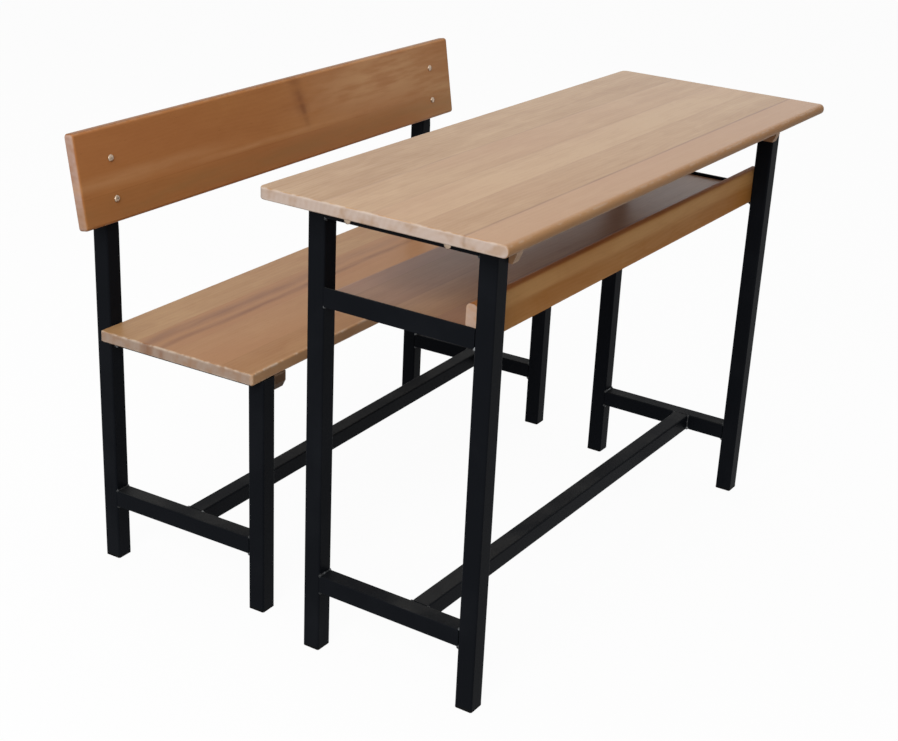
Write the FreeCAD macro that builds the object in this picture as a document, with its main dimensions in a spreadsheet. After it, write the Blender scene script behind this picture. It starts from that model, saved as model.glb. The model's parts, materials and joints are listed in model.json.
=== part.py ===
import FreeCAD, Part
import math
import os
import re
import Sketcher
from FreeCAD import Placement, Rotation, Vector

doc = FreeCAD.newDocument("SchoolDesk")
sheet = doc.addObject("Spreadsheet::Sheet", "Sizes")

# Driving sizes in millimetres, angles in degrees.
driving = {
    # square tube of both frames
    "tube": 30,
    "tube_wall": 1.5,
    "tube_corner": 3,
    "frame_length": 970,
    # desk frame and top
    "desk_height": 760,
    "desk_depth": 318,
    "desk_rail_height": 104,
    "desk_stretcher_place": 119,
    "top_thick": 18,
    "top_front_overhang": 53,
    "top_rear_overhang": 39,
    "top_end_overhang": 65,
    "top_corner": 12,
    "top_nose": 8.5,
    "top_round": 2.5,
    # wooden bars that carry the top
    "top_batten_width": 16,
    "top_batten_height": 40,
    "top_batten_reach": 11,
    "top_batten_run": 6,
    "top_batten_rise": 14,
    "top_bolt_front": 80,
    "top_bolt_rear": 70,
    "top_bolt_drop": 24,
    "top_screw_inset": 60,
    "top_screw_grip": 11,
    # book shelf on two angles
    "angle_width": 30,
    "angle_thick": 3,
    "book_height": 138,
    "shelf_thick": 22,
    "shelf_setback": 10,
    "shelf_play": 1,
    "shelf_bevel": 1.5,
    "shelf_screw_inset": 60,
    "shelf_screw_grip": 12,
    "lip_height": 60,
    "lip_thick": 18,
    "lip_round": 7,
    # where the bench stands
    "bench_gap": 126,
    "bench_shift": 35.5,
    "bench_turn_degrees": 1.8,
    # bench frame and seat
    "bench_depth": 342,
    "bench_rail_height": 100,
    "bench_stretcher_place": 165,
    "seat_height": 431,
    "seat_thick": 19,
    "seat_front_gap": 2,
    "seat_rear_gap": 1,
    "seat_end_overhang": 25,
    "seat_corner": 4,
    "seat_round": 2.5,
    "seat_bevel": 2,
    # thin tubes and wooden bars that carry the seat
    "seat_tube": 20,
    "seat_batten_width": 30,
    "seat_batten_height": 28,
    "seat_batten_run": 6,
    "seat_batten_rise": 12,
    "seat_bolt_inset": 100,
    "seat_screw_inset": 50,
    "seat_screw_grip": 11,
    # bent rear posts and backrest
    "post_lean_degrees": 9,
    "post_bend_height": 595,
    "post_bend_radius": 90,
    "post_reach": 126,
    "back_width": 153,
    "back_thick": 18,
    "back_start": 8,
    "back_end_overhang": 61,
    "back_corner": 6,
    "back_round": 5.5,
    "back_bevel": 3,
    "back_bolt_low": 37,
    "back_bolt_high": 102,
    # plastic plugs in the feet and post tops
    "plug_base": 4,
    "plug_depth": 16,
    "plug_wall": 2,
    "plug_play": 0.2,
    "plug_corner": 2,
    "cap_base": 3,
    # low-headed bolts with square shanks, washers and nuts
    "bolt_wide": 6,
    "bolt_play": 0.5,
    "bolt_head_wide": 12,
    "bolt_crown_wide": 7,
    "bolt_head_rise": 3,
    "bolt_end": 2,
    "washer_wide": 18,
    "washer_thick": 1.5,
    "nut_wide": 11.5,
    "nut_thick": 5,
    # six-sided wood screws
    "screw_wide": 4,
    "screw_play": 0.4,
    "screw_head_wide": 8,
    "screw_head_rise": 2.5,
    # gap between a nut and its bolt
    "nut_play": 0.1,
}
for row, (name, number) in enumerate(driving.items(), start=1):
    sheet.set("A%d" % row, name)
    sheet.set("B%d" % row, str(number))
    sheet.setAlias("B%d" % row, name)
doc.recompute()

quarter = math.radians(90)
same = 1e-4
across = Vector(1, 0, 0)
upright = Vector(0, 0, 1)
along_y = Rotation(across, -90)
along_x = Rotation(Vector(0, 1, 0), 90)
against_x = Rotation(Vector(0, 1, 0), -90)
upside_down = Rotation(across, 180)
half_turn = Rotation(upright, 180)
# a side profile: its x runs along +Y, its y upwards, its depth along +X
side_view = Rotation(Vector(0, 1, 0), upright, across, "ZXY")
parts = {}


def sized(text):
    return re.sub(r"\b(?!tan\b|deg\b)[a-z]\w*", r"Sizes.\g<0>", text)


def value(text):
    return float(sheet.evalExpression(sized(text)))


def bind(thing, field, text):
    thing.setExpression(field, sized(text))


def new_body(label):
    body = doc.addObject("PartDesign::Body", label)
    body.Label = label
    return body


def sketch_on(body, role):
    sketch = body.newObject("Sketcher::SketchObject", body.Name + "_sketch")
    plane = next(item for item in body.Origin.OriginFeatures if item.Role == role)
    sketch.AttachmentSupport = (plane, [""])
    sketch.MapMode = "FlatFace"
    return sketch


def measure(sketch, kind, places, text):
    made = sketch.addConstraint(Sketcher.Constraint(kind, *places, value(text)))
    bind(sketch, "Constraints[%d]" % made, text)


def add_outline(sketch, points):
    first = sketch.GeometryCount
    corners = [Vector(value(x), value(y), 0) for x, y in points]
    for start, end in zip(corners, corners[1:] + corners[:1]):
        sketch.addGeometry(Part.LineSegment(start, end))
    for k, (x, y) in enumerate(points):
        ends = (first + k, 2, first + (k + 1) % len(points), 1)
        sketch.addConstraint(Sketcher.Constraint("Coincident", *ends))
        measure(sketch, "DistanceX", (first + k, 1), x)
        measure(sketch, "DistanceY", (first + k, 1), y)


def rectangle(sketch, wide, tall, x="0", y="0"):
    low_x, high_x = (x + sign + "(" + wide + ") / 2" for sign in (" - ", " + "))
    low_y, high_y = (y + sign + "(" + tall + ") / 2" for sign in (" - ", " + "))
    add_outline(sketch, ((low_x, low_y), (high_x, low_y), (high_x, high_y), (low_x, high_y)))


def rounded_rectangle(sketch, wide, tall, corner):
    first = sketch.GeometryCount
    x = value(wide) / 2
    y = value(tall) / 2
    r = value(corner)
    lines = (
        ((r - x, -y), (x - r, -y)),
        ((x, r - y), (x, y - r)),
        ((x - r, y), (r - x, y)),
        ((-x, y - r), (-x, r - y)),
    )
    centres = ((x - r, r - y), (x - r, y - r), (r - x, y - r), (r - x, r - y))
    sides = len(lines)
    for start, end in lines:
        sketch.addGeometry(Part.LineSegment(Vector(*start, 0), Vector(*end, 0)))
    for k, centre in enumerate(centres):
        circle = Part.Circle(Vector(*centre, 0), upright, r)
        sketch.addGeometry(Part.ArcOfCircle(circle, quarter * (k - 1), quarter * k))
    for k in range(sides):
        line = first + k
        arc = line + sides
        following = first + (k + 1) % sides
        sketch.addConstraint(Sketcher.Constraint("Tangent", line, 2, arc, 1))
        sketch.addConstraint(Sketcher.Constraint("Tangent", arc, 2, following, 1))
        sketch.addConstraint(Sketcher.Constraint("Vertical" if k % 2 else "Horizontal", line))
        if k:
            sketch.addConstraint(Sketcher.Constraint("Equal", first + sides, arc))
    opposite = (first + sides, 3, first + sides + 2, 3, -1, 1)
    sketch.addConstraint(Sketcher.Constraint("Symmetric", *opposite))
    measure(sketch, "DistanceX", (first + 3, 1, first + 1, 1), wide)
    measure(sketch, "DistanceY", (first, 1, first + 2, 1), tall)
    measure(sketch, "Radius", (first + sides,), corner)


def tube_section(body, side):
    sketch = sketch_on(body, "XY_Plane")
    hollow = side + " - 2 * tube_wall"
    rounded_rectangle(sketch, side, side, "tube_corner")
    rectangle(sketch, hollow, hollow)
    return sketch


def pad(body, sketch, length, reverse=False):
    feature = body.newObject("PartDesign::Pad", body.Name + "_pad")
    feature.Profile = sketch
    feature.Reversed = reverse
    bind(feature, "Length", length)
    doc.recompute()


# square holes right through
def pierce(body, role, wide, places):
    before = body.Shape.Volume
    sketch = sketch_on(body, role)
    for x, y in places:
        rectangle(sketch, wide, wide, x, y)
    feature = body.newObject("PartDesign::Pocket", body.Name + "_holes")
    feature.Profile = sketch
    feature.Type = "ThroughAll"
    feature.SideType = "Symmetric"
    doc.recompute()
    if body.Shape.Volume >= before:
        raise RuntimeError(body.Label + ": the holes took nothing away")


def both_ends(place, rows):
    return [(sign + place, row) for sign in ("", "-") for row in rows]


def soften(body, kind, field, amount, choose):
    base = body.Tip
    edges = enumerate(base.Shape.Edges, start=1)
    feature = body.newObject("PartDesign::" + kind, body.Name + "_edges")
    feature.Base = (base, ["Edge%d" % k for k, edge in edges if choose(edge.BoundBox)])
    bind(feature, field, amount)
    doc.recompute()


def level_edges(height):
    def choose(box):
        return abs(box.ZMin - height) < same and abs(box.ZMax - height) < same
    return choose


def keep(label, thing, frame, x, y, z, turn=Rotation()):
    thing.Placement = frame.multiply(Placement(Vector(x, y, z), turn))
    parts[label] = thing


def group(label, pattern, frame, places):
    links = []
    for k, (point, turn) in enumerate(places):
        link = doc.addObject("App::Link", "%s_%d" % (label, k))
        link.LinkedObject = pattern
        link.Placement = frame.multiply(Placement(Vector(*point), turn))
        links.append(link)
    made = doc.addObject("Part::Compound", label)
    made.Label = label
    made.Links = links
    doc.recompute()
    parts[label] = made


def tube(label, length, side="tube"):
    body = new_body(label)
    pad(body, tube_section(body, side), length)
    return body


def board(label, size, corner, upper_round, lower_bevel):
    length, depth, thick = size
    body = new_body(label)
    sketch = sketch_on(body, "XY_Plane")
    rounded_rectangle(sketch, length, depth, corner)
    pad(body, sketch, thick)
    soften(body, "Fillet", "Radius", upper_round, level_edges(value(thick)))
    soften(body, "Chamfer", "Size", lower_bevel, level_edges(0))
    return body


# board with a round nose along its front and two rounded rear corners
def nosed_board(label, size, nose, corner, edge_round):
    length, depth, thick = size
    body = new_body(label)
    sketch = sketch_on(body, "XY_Plane")
    rectangle(sketch, length, depth)
    pad(body, sketch, thick)
    half_length = value(length) / 2
    half_depth = value(depth) / 2

    def front(box):
        return abs(box.YMax + half_depth) < same and box.XLength > same

    def rear_corners(box):
        return abs(box.YMin - half_depth) < same and box.ZLength > same

    def ends_and_rear(box):
        at_end = box.XLength < same and abs(abs(box.XMin) - half_length) < same
        return at_end or box.ZLength < same and box.YMax > half_depth - same

    soften(body, "Fillet", "Radius", nose, front)
    soften(body, "Fillet", "Radius", corner, rear_corners)
    soften(body, "Fillet", "Radius", edge_round, ends_and_rear)
    return body


# wooden bar with its lower corners cut off at both ends
def batten(label, size, run, rise):
    length, height, width = size
    body = new_body(label)
    sketch = sketch_on(body, "XY_Plane")
    low = ((run, "0"), (length + " - " + run, "0"), (length, rise))
    add_outline(sketch, low + ((length, height), ("0", height), ("0", rise)))
    pad(body, sketch, width)
    return body


def angle(label, length):
    body = new_body(label)
    sketch = sketch_on(body, "XY_Plane")
    wide = "angle_width"
    thick = "angle_thick"
    inner = "angle_width - angle_thick"
    upright_leg = (("0", "0"), (thick, "0"), (thick, inner))
    add_outline(sketch, upright_leg + ((wide, inner), (wide, wide), ("0", wide)))
    pad(body, sketch, length)
    return body


def plug(label, base):
    body = new_body(label)
    sketch = sketch_on(body, "XY_Plane")
    half = "tube / 2"
    short = "(tube / 2 - plug_corner)"
    corners = ((half, short), (short, half), ("-" + short, half), ("-" + half, short))
    opposite = tuple(("-" + x, "-" + y) for x, y in corners[:2])
    add_outline(sketch, corners + opposite + ((short, "-" + half), (half, "-" + short)))
    pad(body, sketch, base)
    sketch = sketch_on(body, "XY_Plane")
    stem = "tube - 2 * tube_wall - 2 * plug_play"
    for side in (stem, stem + " - 2 * plug_wall"):
        rectangle(sketch, side, side)
    pad(body, sketch, "plug_depth", reverse=True)
    return body


def prism(label, wide, rise):
    block = doc.addObject("Part::Prism", label)
    block.Polygon = 6
    bind(block, "Circumradius", wide + " / 2")
    bind(block, "Height", rise)
    return block


def square_bar(label, wide, rise):
    bar = doc.addObject("Part::Box", label)
    for side in ("Length", "Width"):
        bind(bar, side, wide)
    bind(bar, "Height", rise)
    for axis in ("x", "y"):
        bind(bar, "Placement.Base." + axis, "-(" + wide + ") / 2")
    return bar


def joined(kind, label, base, tool):
    made = doc.addObject("Part::" + kind, label)
    made.Base = base
    made.Tool = tool
    doc.recompute()
    return made


# head above z = 0, square shank below it
def fastener(label, head, wide, reach):
    shank = square_bar(label + "_shank", wide, reach)
    bind(shank, "Placement.Base.z", "-(" + reach + ")")
    return joined("Fuse", label, head, shank)


def round_head(label):
    head = doc.addObject("Part::Cone", label)
    bind(head, "Radius1", "bolt_head_wide / 2")
    bind(head, "Radius2", "bolt_crown_wide / 2")
    bind(head, "Height", "bolt_head_rise")
    return head


def bolt(label, head, grip):
    return fastener(label, head, "bolt_wide", grip + " + nut_thick + bolt_end")


def screw(label, reach):
    head = prism(label + "_head", "screw_head_wide", "screw_head_rise")
    return fastener(label, head, "screw_wide", reach)


bolt_hole = "bolt_wide + bolt_play"
screw_hole = "screw_wide + screw_play"

washer_disc = doc.addObject("Part::Cylinder", "washer_disc")
bind(washer_disc, "Radius", "washer_wide / 2")
bind(washer_disc, "Height", "washer_thick")
washer = joined("Cut", "washer", washer_disc, square_bar("washer_hole", bolt_hole, "washer_thick"))

nut_block = prism("nut_block", "nut_wide", "nut_thick")
nut = joined("Cut", "nut", nut_block, square_bar("nut_hole", "bolt_wide + nut_play", "nut_thick"))

foot_plug = plug("foot_plug", "plug_base")
post_cap = plug("post_cap", "cap_base")

desk = Placement()
bench_spot = Vector(value("bench_shift"), value("desk_depth + bench_gap"), 0)
bench = Placement(bench_spot, Rotation(upright, value("bench_turn_degrees")))

side_signs = {"left": -1, "right": 1}
outward = {"left": against_x, "right": along_x}
inward = {"left": along_x, "right": against_x}
tube_middle = value("tube / 2")
foot_level = value("plug_base")
leg_place = "(frame_length - tube) / 2"
leg_x = value(leg_place)
inner_x = value("frame_length / 2 - tube")
desk_span = "desk_depth - 2 * tube"
bench_span = "bench_depth - 2 * tube"
stretcher_span = "frame_length - 2 * tube"

# desk frame
under_top = value("desk_height - top_thick")
for side, sign in side_signs.items():
    for end, y in (("front", tube_middle), ("rear", value("desk_depth") - tube_middle)):
        label = "desk_leg_%s_%s" % (side, end)
        leg = tube(label, "desk_height - top_thick - plug_base")
        keep(label, leg, desk, sign * leg_x, y, foot_level)

    label = "desk_top_rail_" + side
    rail = tube(label, desk_span)
    drop = "top_bolt_drop - tube / 2"
    ways = ((drop, "top_bolt_front - tube"), (drop, "desk_depth - top_bolt_rear - tube"))
    pierce(rail, "YZ_Plane", bolt_hole, ways)
    keep(label, rail, desk, sign * leg_x, value("tube"), under_top - tube_middle, along_y)

    label = "desk_foot_rail_" + side
    rail = tube(label, desk_span)
    keep(label, rail, desk, sign * leg_x, value("tube"), value("desk_rail_height + tube / 2"), along_y)

stretcher = tube("desk_stretcher", stretcher_span)
spot = (-inner_x, value("desk_stretcher_place"), value("desk_rail_height + tube / 2"))
keep("desk_stretcher", stretcher, desk, *spot, along_x)

# desk top on its two wooden bars
top_screw_rows = (
    "top_screw_inset - top_batten_reach",
    "desk_depth / 2",
    "desk_depth + top_batten_reach - top_screw_inset",
)
top_middle = "(desk_depth + top_rear_overhang - top_front_overhang) / 2"
top_screw_place = "(frame_length / 2 - tube - top_batten_width / 2)"
top_size = (
    "frame_length + 2 * top_end_overhang",
    "desk_depth + top_front_overhang + top_rear_overhang",
    "top_thick",
)
top = nosed_board("desk_top", top_size, "top_nose", "top_corner", "top_round")
keep("desk_top", top, desk, 0, value(top_middle), under_top)

batten_x = {"left": -inner_x, "right": inner_x - value("top_batten_width")}
batten_z = under_top - value("top_batten_height")
for side in side_signs:
    label = "desk_batten_" + side
    size = ("desk_depth + 2 * top_batten_reach", "top_batten_height", "top_batten_width")
    bar = batten(label, size, "top_batten_run", "top_batten_rise")
    level = "top_batten_height - top_bolt_drop"
    ways = (
        ("top_batten_reach + top_bolt_front", level),
        ("top_batten_reach + desk_depth - top_bolt_rear", level),
    )
    pierce(bar, "XY_Plane", bolt_hole, ways)
    ways = [("top_batten_reach + " + row, "top_batten_width / 2") for row in top_screw_rows]
    pierce(bar, "XZ_Plane", screw_hole, ways)
    keep(label, bar, desk, batten_x[side], -value("top_batten_reach"), batten_z, side_view)

bolt_rows = (value("top_bolt_front"), value("desk_depth - top_bolt_rear"))
bolt_z = under_top - value("top_bolt_drop")
heads = []
washers = []
nuts = []
screws = []
for side, sign in side_signs.items():
    outer = sign * value("frame_length / 2")
    inner = sign * (inner_x - value("top_batten_width"))
    for y in bolt_rows:
        heads.append(((outer, y, bolt_z), outward[side]))
        washers.append(((inner, y, bolt_z), inward[side]))
        nuts.append(((inner - sign * value("washer_thick"), y, bolt_z), inward[side]))
    for row in top_screw_rows:
        screws.append(((sign * value(top_screw_place), value(row), batten_z), upside_down))
long_bolt = bolt("long_bolt", round_head("long_bolt_head"), "tube + top_batten_width + washer_thick")
group("desk_batten_bolts", long_bolt, desk, heads)
group("desk_batten_washers", washer, desk, washers)
group("desk_batten_nuts", nut, desk, nuts)
group("desk_top_screws", screw("long_screw", "top_batten_height + top_screw_grip"), desk, screws)

# book shelf and its lip on two angles
shelf_level = value("desk_height - top_thick - book_height - shelf_thick")
angle_level = shelf_level - value("angle_thick")
shelf_length = "frame_length - 2 * angle_thick - 2 * shelf_play"
shelf_front = "tube + lip_thick"
shelf_depth = "(desk_depth - 2 * tube - lip_thick - shelf_setback)"
shelf_rows = (
    "tube + lip_thick / 2",
    shelf_front + " + shelf_screw_inset",
    "desk_depth - tube - shelf_setback - shelf_screw_inset",
)
shelf_screw_place = "(frame_length - angle_width) / 2"
angle_starts = {"left": value("tube"), "right": value("desk_depth - tube")}
angle_turns = {"left": along_y, "right": half_turn.multiply(along_y)}
for side, sign in side_signs.items():
    label = "shelf_angle_" + side
    bar = angle(label, desk_span)
    ways = [row + " - tube" for row in shelf_rows]
    if side == "right":
        ways = ["desk_depth - tube - (%s)" % row for row in shelf_rows]
    pierce(bar, "XZ_Plane", screw_hole, [("angle_width / 2", way) for way in ways])
    outer = sign * value("frame_length / 2")
    angle_top = angle_level + value("angle_width")
    keep(label, bar, desk, outer, angle_starts[side], angle_top, angle_turns[side])

shelf = new_body("book_shelf")
shelf_sketch = sketch_on(shelf, "XY_Plane")
rectangle(shelf_sketch, shelf_length, shelf_depth)
pad(shelf, shelf_sketch, "shelf_thick")
for level in (0, value("shelf_thick")):
    soften(shelf, "Chamfer", "Size", "shelf_bevel", level_edges(level))
shelf_middle = "(" + shelf_front + " + " + shelf_depth + " / 2)"
keep("book_shelf", shelf, desk, 0, value(shelf_middle), shelf_level)


def lip_top_edges(box):
    height = value("lip_height")
    return abs(box.YMin - height) < same and abs(box.YMax - height) < same and box.ZLength > box.XLength


lip = new_body("shelf_lip")
lip_sketch = sketch_on(lip, "XY_Plane")
lip_corners = (("0", "0"), ("lip_thick", "0"), ("lip_thick", "lip_height"), ("0", "lip_height"))
add_outline(lip_sketch, lip_corners)
pad(lip, lip_sketch, shelf_length)
soften(lip, "Fillet", "Radius", "lip_round", lip_top_edges)
keep("shelf_lip", lip, desk, -value(shelf_length) / 2, value("tube"), shelf_level, side_view)

screws = []
for sign in side_signs.values():
    for row in shelf_rows:
        screws.append(((sign * value(shelf_screw_place), value(row), angle_level), upside_down))
group("shelf_screws", screw("short_screw", "angle_thick + shelf_screw_grip"), desk, screws)

# bench frame
under_seat = value("seat_height - seat_thick")
lean = math.radians(value("post_lean_degrees"))
lean_up = Vector(0, math.sin(lean), math.cos(lean))
lean_out = Vector(0, -math.cos(lean), math.sin(lean))
leaning = Rotation(across, -value("post_lean_degrees"))
facing = leaning.multiply(Rotation(across, 90))
facing_back = leaning.multiply(Rotation(across, -90))
bend = Vector(0, value("bench_depth - tube / 2"), value("post_bend_height"))


def on_post(x, up, out):
    return Vector(x, 0, 0) + bend + lean_up * up + lean_out * out


def post(label):
    body = new_body(label)
    section = tube_section(body, "tube")
    path = sketch_on(body, "YZ_Plane")
    round_length = "post_bend_radius * tan(post_lean_degrees / 2 * 1 deg)"
    upper = "back_start + post_reach - " + round_length
    lower = "post_bend_height - plug_base - " + round_length
    radius = value("post_bend_radius")
    turn = math.radians(180)
    start = Vector(0, -value(upper), 0)
    centre = start + Vector(radius, 0, 0)
    bow = Part.ArcOfCircle(Part.Circle(centre, upright, radius), turn, turn + lean)
    path.addGeometry(Part.LineSegment(Vector(), start))
    path.addGeometry(bow)
    down = Vector(math.sin(lean), -math.cos(lean), 0) * value(lower)
    path.addGeometry(Part.LineSegment(bow.EndPoint, bow.EndPoint + down))
    path.addConstraint(Sketcher.Constraint("Coincident", 0, 1, -1, 1))
    path.addConstraint(Sketcher.Constraint("Vertical", 0))
    path.addConstraint(Sketcher.Constraint("Tangent", 0, 2, 1, 1))
    path.addConstraint(Sketcher.Constraint("Tangent", 1, 2, 2, 1))
    measure(path, "Distance", (0,), upper)
    measure(path, "Distance", (2,), lower)
    measure(path, "Radius", (1,), "post_bend_radius")
    swing = path.addConstraint(Sketcher.Constraint("Angle", 1, lean))
    bind(path, "Constraints[%d]" % swing, "post_lean_degrees * 1 deg")
    pipe = body.newObject("PartDesign::AdditivePipe", label + "_pipe")
    pipe.Profile = section
    pipe.Spine = path
    doc.recompute()
    pierce(body, "XZ_Plane", bolt_hole, [("0", row + " - post_reach") for row in back_rows])
    return body


back_rows = ("back_bolt_low", "back_bolt_high")
post_top = value("back_start + post_reach")
for side, sign in side_signs.items():
    label = "bench_leg_" + side
    leg = tube(label, "seat_height - seat_thick - plug_base")
    keep(label, leg, bench, sign * leg_x, tube_middle, foot_level)

    label = "bench_post_" + side
    keep(label, post(label), bench, *on_post(sign * leg_x, post_top, 0), leaning)

    label = "seat_rail_" + side
    rail = tube(label, bench_span, "seat_tube")
    ways = (("0", "seat_bolt_inset - tube"), ("0", "bench_depth - seat_bolt_inset - tube"))
    pierce(rail, "YZ_Plane", bolt_hole, ways)
    rail_x = sign * (inner_x + value("seat_tube / 2"))
    keep(label, rail, bench, rail_x, value("tube"), under_seat - value("seat_tube / 2"), along_y)

    label = "bench_foot_rail_" + side
    rail = tube(label, bench_span)
    keep(label, rail, bench, sign * leg_x, value("tube"), value("bench_rail_height + tube / 2"), along_y)

stretcher = tube("bench_stretcher", stretcher_span)
spot = (-inner_x, value("bench_stretcher_place"), value("bench_rail_height + tube / 2"))
keep("bench_stretcher", stretcher, bench, *spot, along_x)

# seat on its two wooden bars
seat_depth = "(bench_depth - tube - seat_front_gap - seat_rear_gap)"
seat_middle = "(seat_front_gap + " + seat_depth + " / 2)"
seat_rows = (
    "seat_front_gap + seat_screw_inset",
    seat_middle,
    "bench_depth - tube - seat_rear_gap - seat_screw_inset",
)
seat_screw_place = "(frame_length / 2 - tube - seat_batten_width / 2)"
seat_size = ("frame_length + 2 * seat_end_overhang", seat_depth, "seat_thick")
seat = board("seat_board", seat_size, "seat_corner", "seat_round", "seat_bevel")
keep("seat_board", seat, bench, 0, value(seat_middle), under_seat)

batten_x = {"left": -inner_x, "right": inner_x - value("seat_batten_width")}
batten_z = under_seat - value("seat_batten_height")
for side in side_signs:
    label = "seat_batten_" + side
    size = (seat_depth, "seat_batten_height", "seat_batten_width")
    bar = batten(label, size, "seat_batten_run", "seat_batten_rise")
    level = "seat_batten_height - seat_tube / 2"
    ways = (
        ("seat_bolt_inset - seat_front_gap", level),
        ("bench_depth - seat_bolt_inset - seat_front_gap", level),
    )
    pierce(bar, "XY_Plane", bolt_hole, ways)
    ways = [(row + " - seat_front_gap", "seat_batten_width / 2") for row in seat_rows]
    pierce(bar, "XZ_Plane", screw_hole, ways)
    keep(label, bar, bench, batten_x[side], value("seat_front_gap"), batten_z, side_view)

bolt_rows = (value("seat_bolt_inset"), value("bench_depth - seat_bolt_inset"))
bolt_z = under_seat - value("seat_tube / 2")
heads = []
washers = []
nuts = []
screws = []
for side, sign in side_signs.items():
    outer = sign * (inner_x + value("seat_tube"))
    inner = sign * (inner_x - value("seat_batten_width"))
    for y in bolt_rows:
        heads.append(((outer, y, bolt_z), outward[side]))
        washers.append(((inner, y, bolt_z), inward[side]))
        nuts.append(((inner - sign * value("washer_thick"), y, bolt_z), inward[side]))
    for row in seat_rows:
        screws.append(((sign * value(seat_screw_place), value(row), batten_z), upside_down))
six_sided = prism("middle_bolt_head", "nut_wide", "bolt_head_rise")
middle_bolt = bolt("middle_bolt", six_sided, "seat_tube + seat_batten_width + washer_thick")
group("seat_batten_bolts", middle_bolt, bench, heads)
group("seat_batten_washers", washer, bench, washers)
group("seat_batten_nuts", nut, bench, nuts)
group("seat_screws", screw("middle_screw", "seat_batten_height + seat_screw_grip"), bench, screws)

# backrest on the leaning part of the posts
back_size = ("frame_length + 2 * back_end_overhang", "back_width", "back_thick")
backrest = board("backrest_board", back_size, "back_corner", "back_round", "back_bevel")
ways = both_ends(leg_place, [row + " - back_width / 2" for row in back_rows])
pierce(backrest, "XY_Plane", bolt_hole, ways)
back_middle = on_post(0, value("back_start + back_width / 2"), tube_middle)
keep("backrest_board", backrest, bench, *back_middle, facing)

heads = []
nuts = []
for sign in side_signs.values():
    for row in back_rows:
        up = value("back_start + " + row)
        heads.append((on_post(sign * leg_x, up, tube_middle + value("back_thick")), facing))
        nuts.append((on_post(sign * leg_x, up, -tube_middle), facing_back))
short_bolt = bolt("short_bolt", round_head("short_bolt_head"), "back_thick + tube")
group("backrest_bolts", short_bolt, bench, heads)
group("backrest_nuts", nut, bench, nuts)

# plugs in the feet and caps on the posts
rear_feet = {"desk": value("desk_depth") - tube_middle, "bench": value("bench_depth") - tube_middle}
for name, frame in (("desk", desk), ("bench", bench)):
    feet = []
    for sign in side_signs.values():
        for y in (tube_middle, rear_feet[name]):
            feet.append(((sign * leg_x, y, foot_level), upside_down))
    group(name + "_foot_plugs", foot_plug, frame, feet)
caps = [(on_post(sign * leg_x, post_top, 0), leaning) for sign in side_signs.values()]
group("post_caps", post_cap, bench, caps)

# the origin is the bottom centre of the whole
doc.recompute()
whole = FreeCAD.BoundBox()
for thing in parts.values():
    whole.add(thing.Shape.optimalBoundingBox(False))
shift = Vector(-whole.Center.x, -whole.Center.y, -whole.ZMin)
for thing in parts.values():
    thing.Placement = Placement(shift, Rotation()).multiply(thing.Placement)
doc.recompute()

os.makedirs("parts", exist_ok=True)
for thing in doc.Objects:
    if "Invalid" in thing.State or "Error" in thing.State:
        raise RuntimeError(thing.Label + " did not build")
for label, thing in parts.items():
    if thing.Shape.isNull() or not thing.Shape.isValid():
        raise RuntimeError(label + " has no sound shape")
    thing.Shape.exportStep("parts/" + label + ".step")
print(len(parts), "nodes", whole)
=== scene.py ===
import json
import math

import bmesh
import bpy
import numpy as np
from mathutils import Euler, Matrix, Vector


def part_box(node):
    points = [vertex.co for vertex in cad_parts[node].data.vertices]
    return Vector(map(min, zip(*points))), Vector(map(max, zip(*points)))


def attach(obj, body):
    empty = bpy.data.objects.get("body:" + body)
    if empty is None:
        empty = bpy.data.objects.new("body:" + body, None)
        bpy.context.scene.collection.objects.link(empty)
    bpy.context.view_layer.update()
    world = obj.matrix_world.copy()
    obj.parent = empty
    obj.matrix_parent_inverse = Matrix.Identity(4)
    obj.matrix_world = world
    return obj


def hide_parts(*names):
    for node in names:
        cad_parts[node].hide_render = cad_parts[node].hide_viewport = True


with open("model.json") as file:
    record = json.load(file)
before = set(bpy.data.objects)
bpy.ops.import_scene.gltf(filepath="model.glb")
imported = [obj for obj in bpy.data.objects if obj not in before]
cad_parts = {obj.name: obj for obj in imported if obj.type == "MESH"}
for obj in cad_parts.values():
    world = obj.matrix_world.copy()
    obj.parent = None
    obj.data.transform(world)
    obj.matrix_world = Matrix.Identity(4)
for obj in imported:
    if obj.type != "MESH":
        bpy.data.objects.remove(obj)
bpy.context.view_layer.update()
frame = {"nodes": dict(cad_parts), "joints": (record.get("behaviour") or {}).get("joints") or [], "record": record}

scene = bpy.context.scene
scene.view_settings.view_transform = "Standard"
cadNodes = frame["nodes"]

# the bench slides along its own depth, so the slide's axis also tells how far it is turned from the desk
slideAxis = frame["joints"][0]["axis"]
bodyTurn = {"desk": 0.0, "bench": math.atan2(-slideAxis[0], slideAxis[1])}
print("frame loaded,", len(cadNodes), "nodes")


def tint(red, green, blue):  # screen colour to the shader's linear colour
    def linear(value):
        value = value / 255.0
        return value / 12.92 if value <= 0.04045 else ((value + 0.055) / 1.055) ** 2.4
    return (linear(red), linear(green), linear(blue), 1.0)


def newTree(name, kind, takes, gives):  # an empty node tree with its named inputs and outputs
    tree = bpy.data.node_groups.new(name, kind)
    for label, socket, *value in takes:
        made = tree.interface.new_socket(name=label, in_out="INPUT", socket_type="NodeSocket" + socket)
        if value:
            made.default_value = value[0]
    for label, socket in gives:
        tree.interface.new_socket(name=label, in_out="OUTPUT", socket_type="NodeSocket" + socket)
    return tree, tree.nodes.new("NodeGroupInput").outputs, tree.nodes.new("NodeGroupOutput").inputs


def add(tree, kind, values=None, **settings):  # one node, with its inputs set or linked
    node = tree.nodes.new(kind)
    for key, value in settings.items():
        setattr(node, key, value)
    for key, value in (values or {}).items():
        if isinstance(value, bpy.types.NodeSocket):
            tree.links.new(value, node.inputs[key])
        else:
            node.inputs[key].default_value = value
    return node


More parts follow.
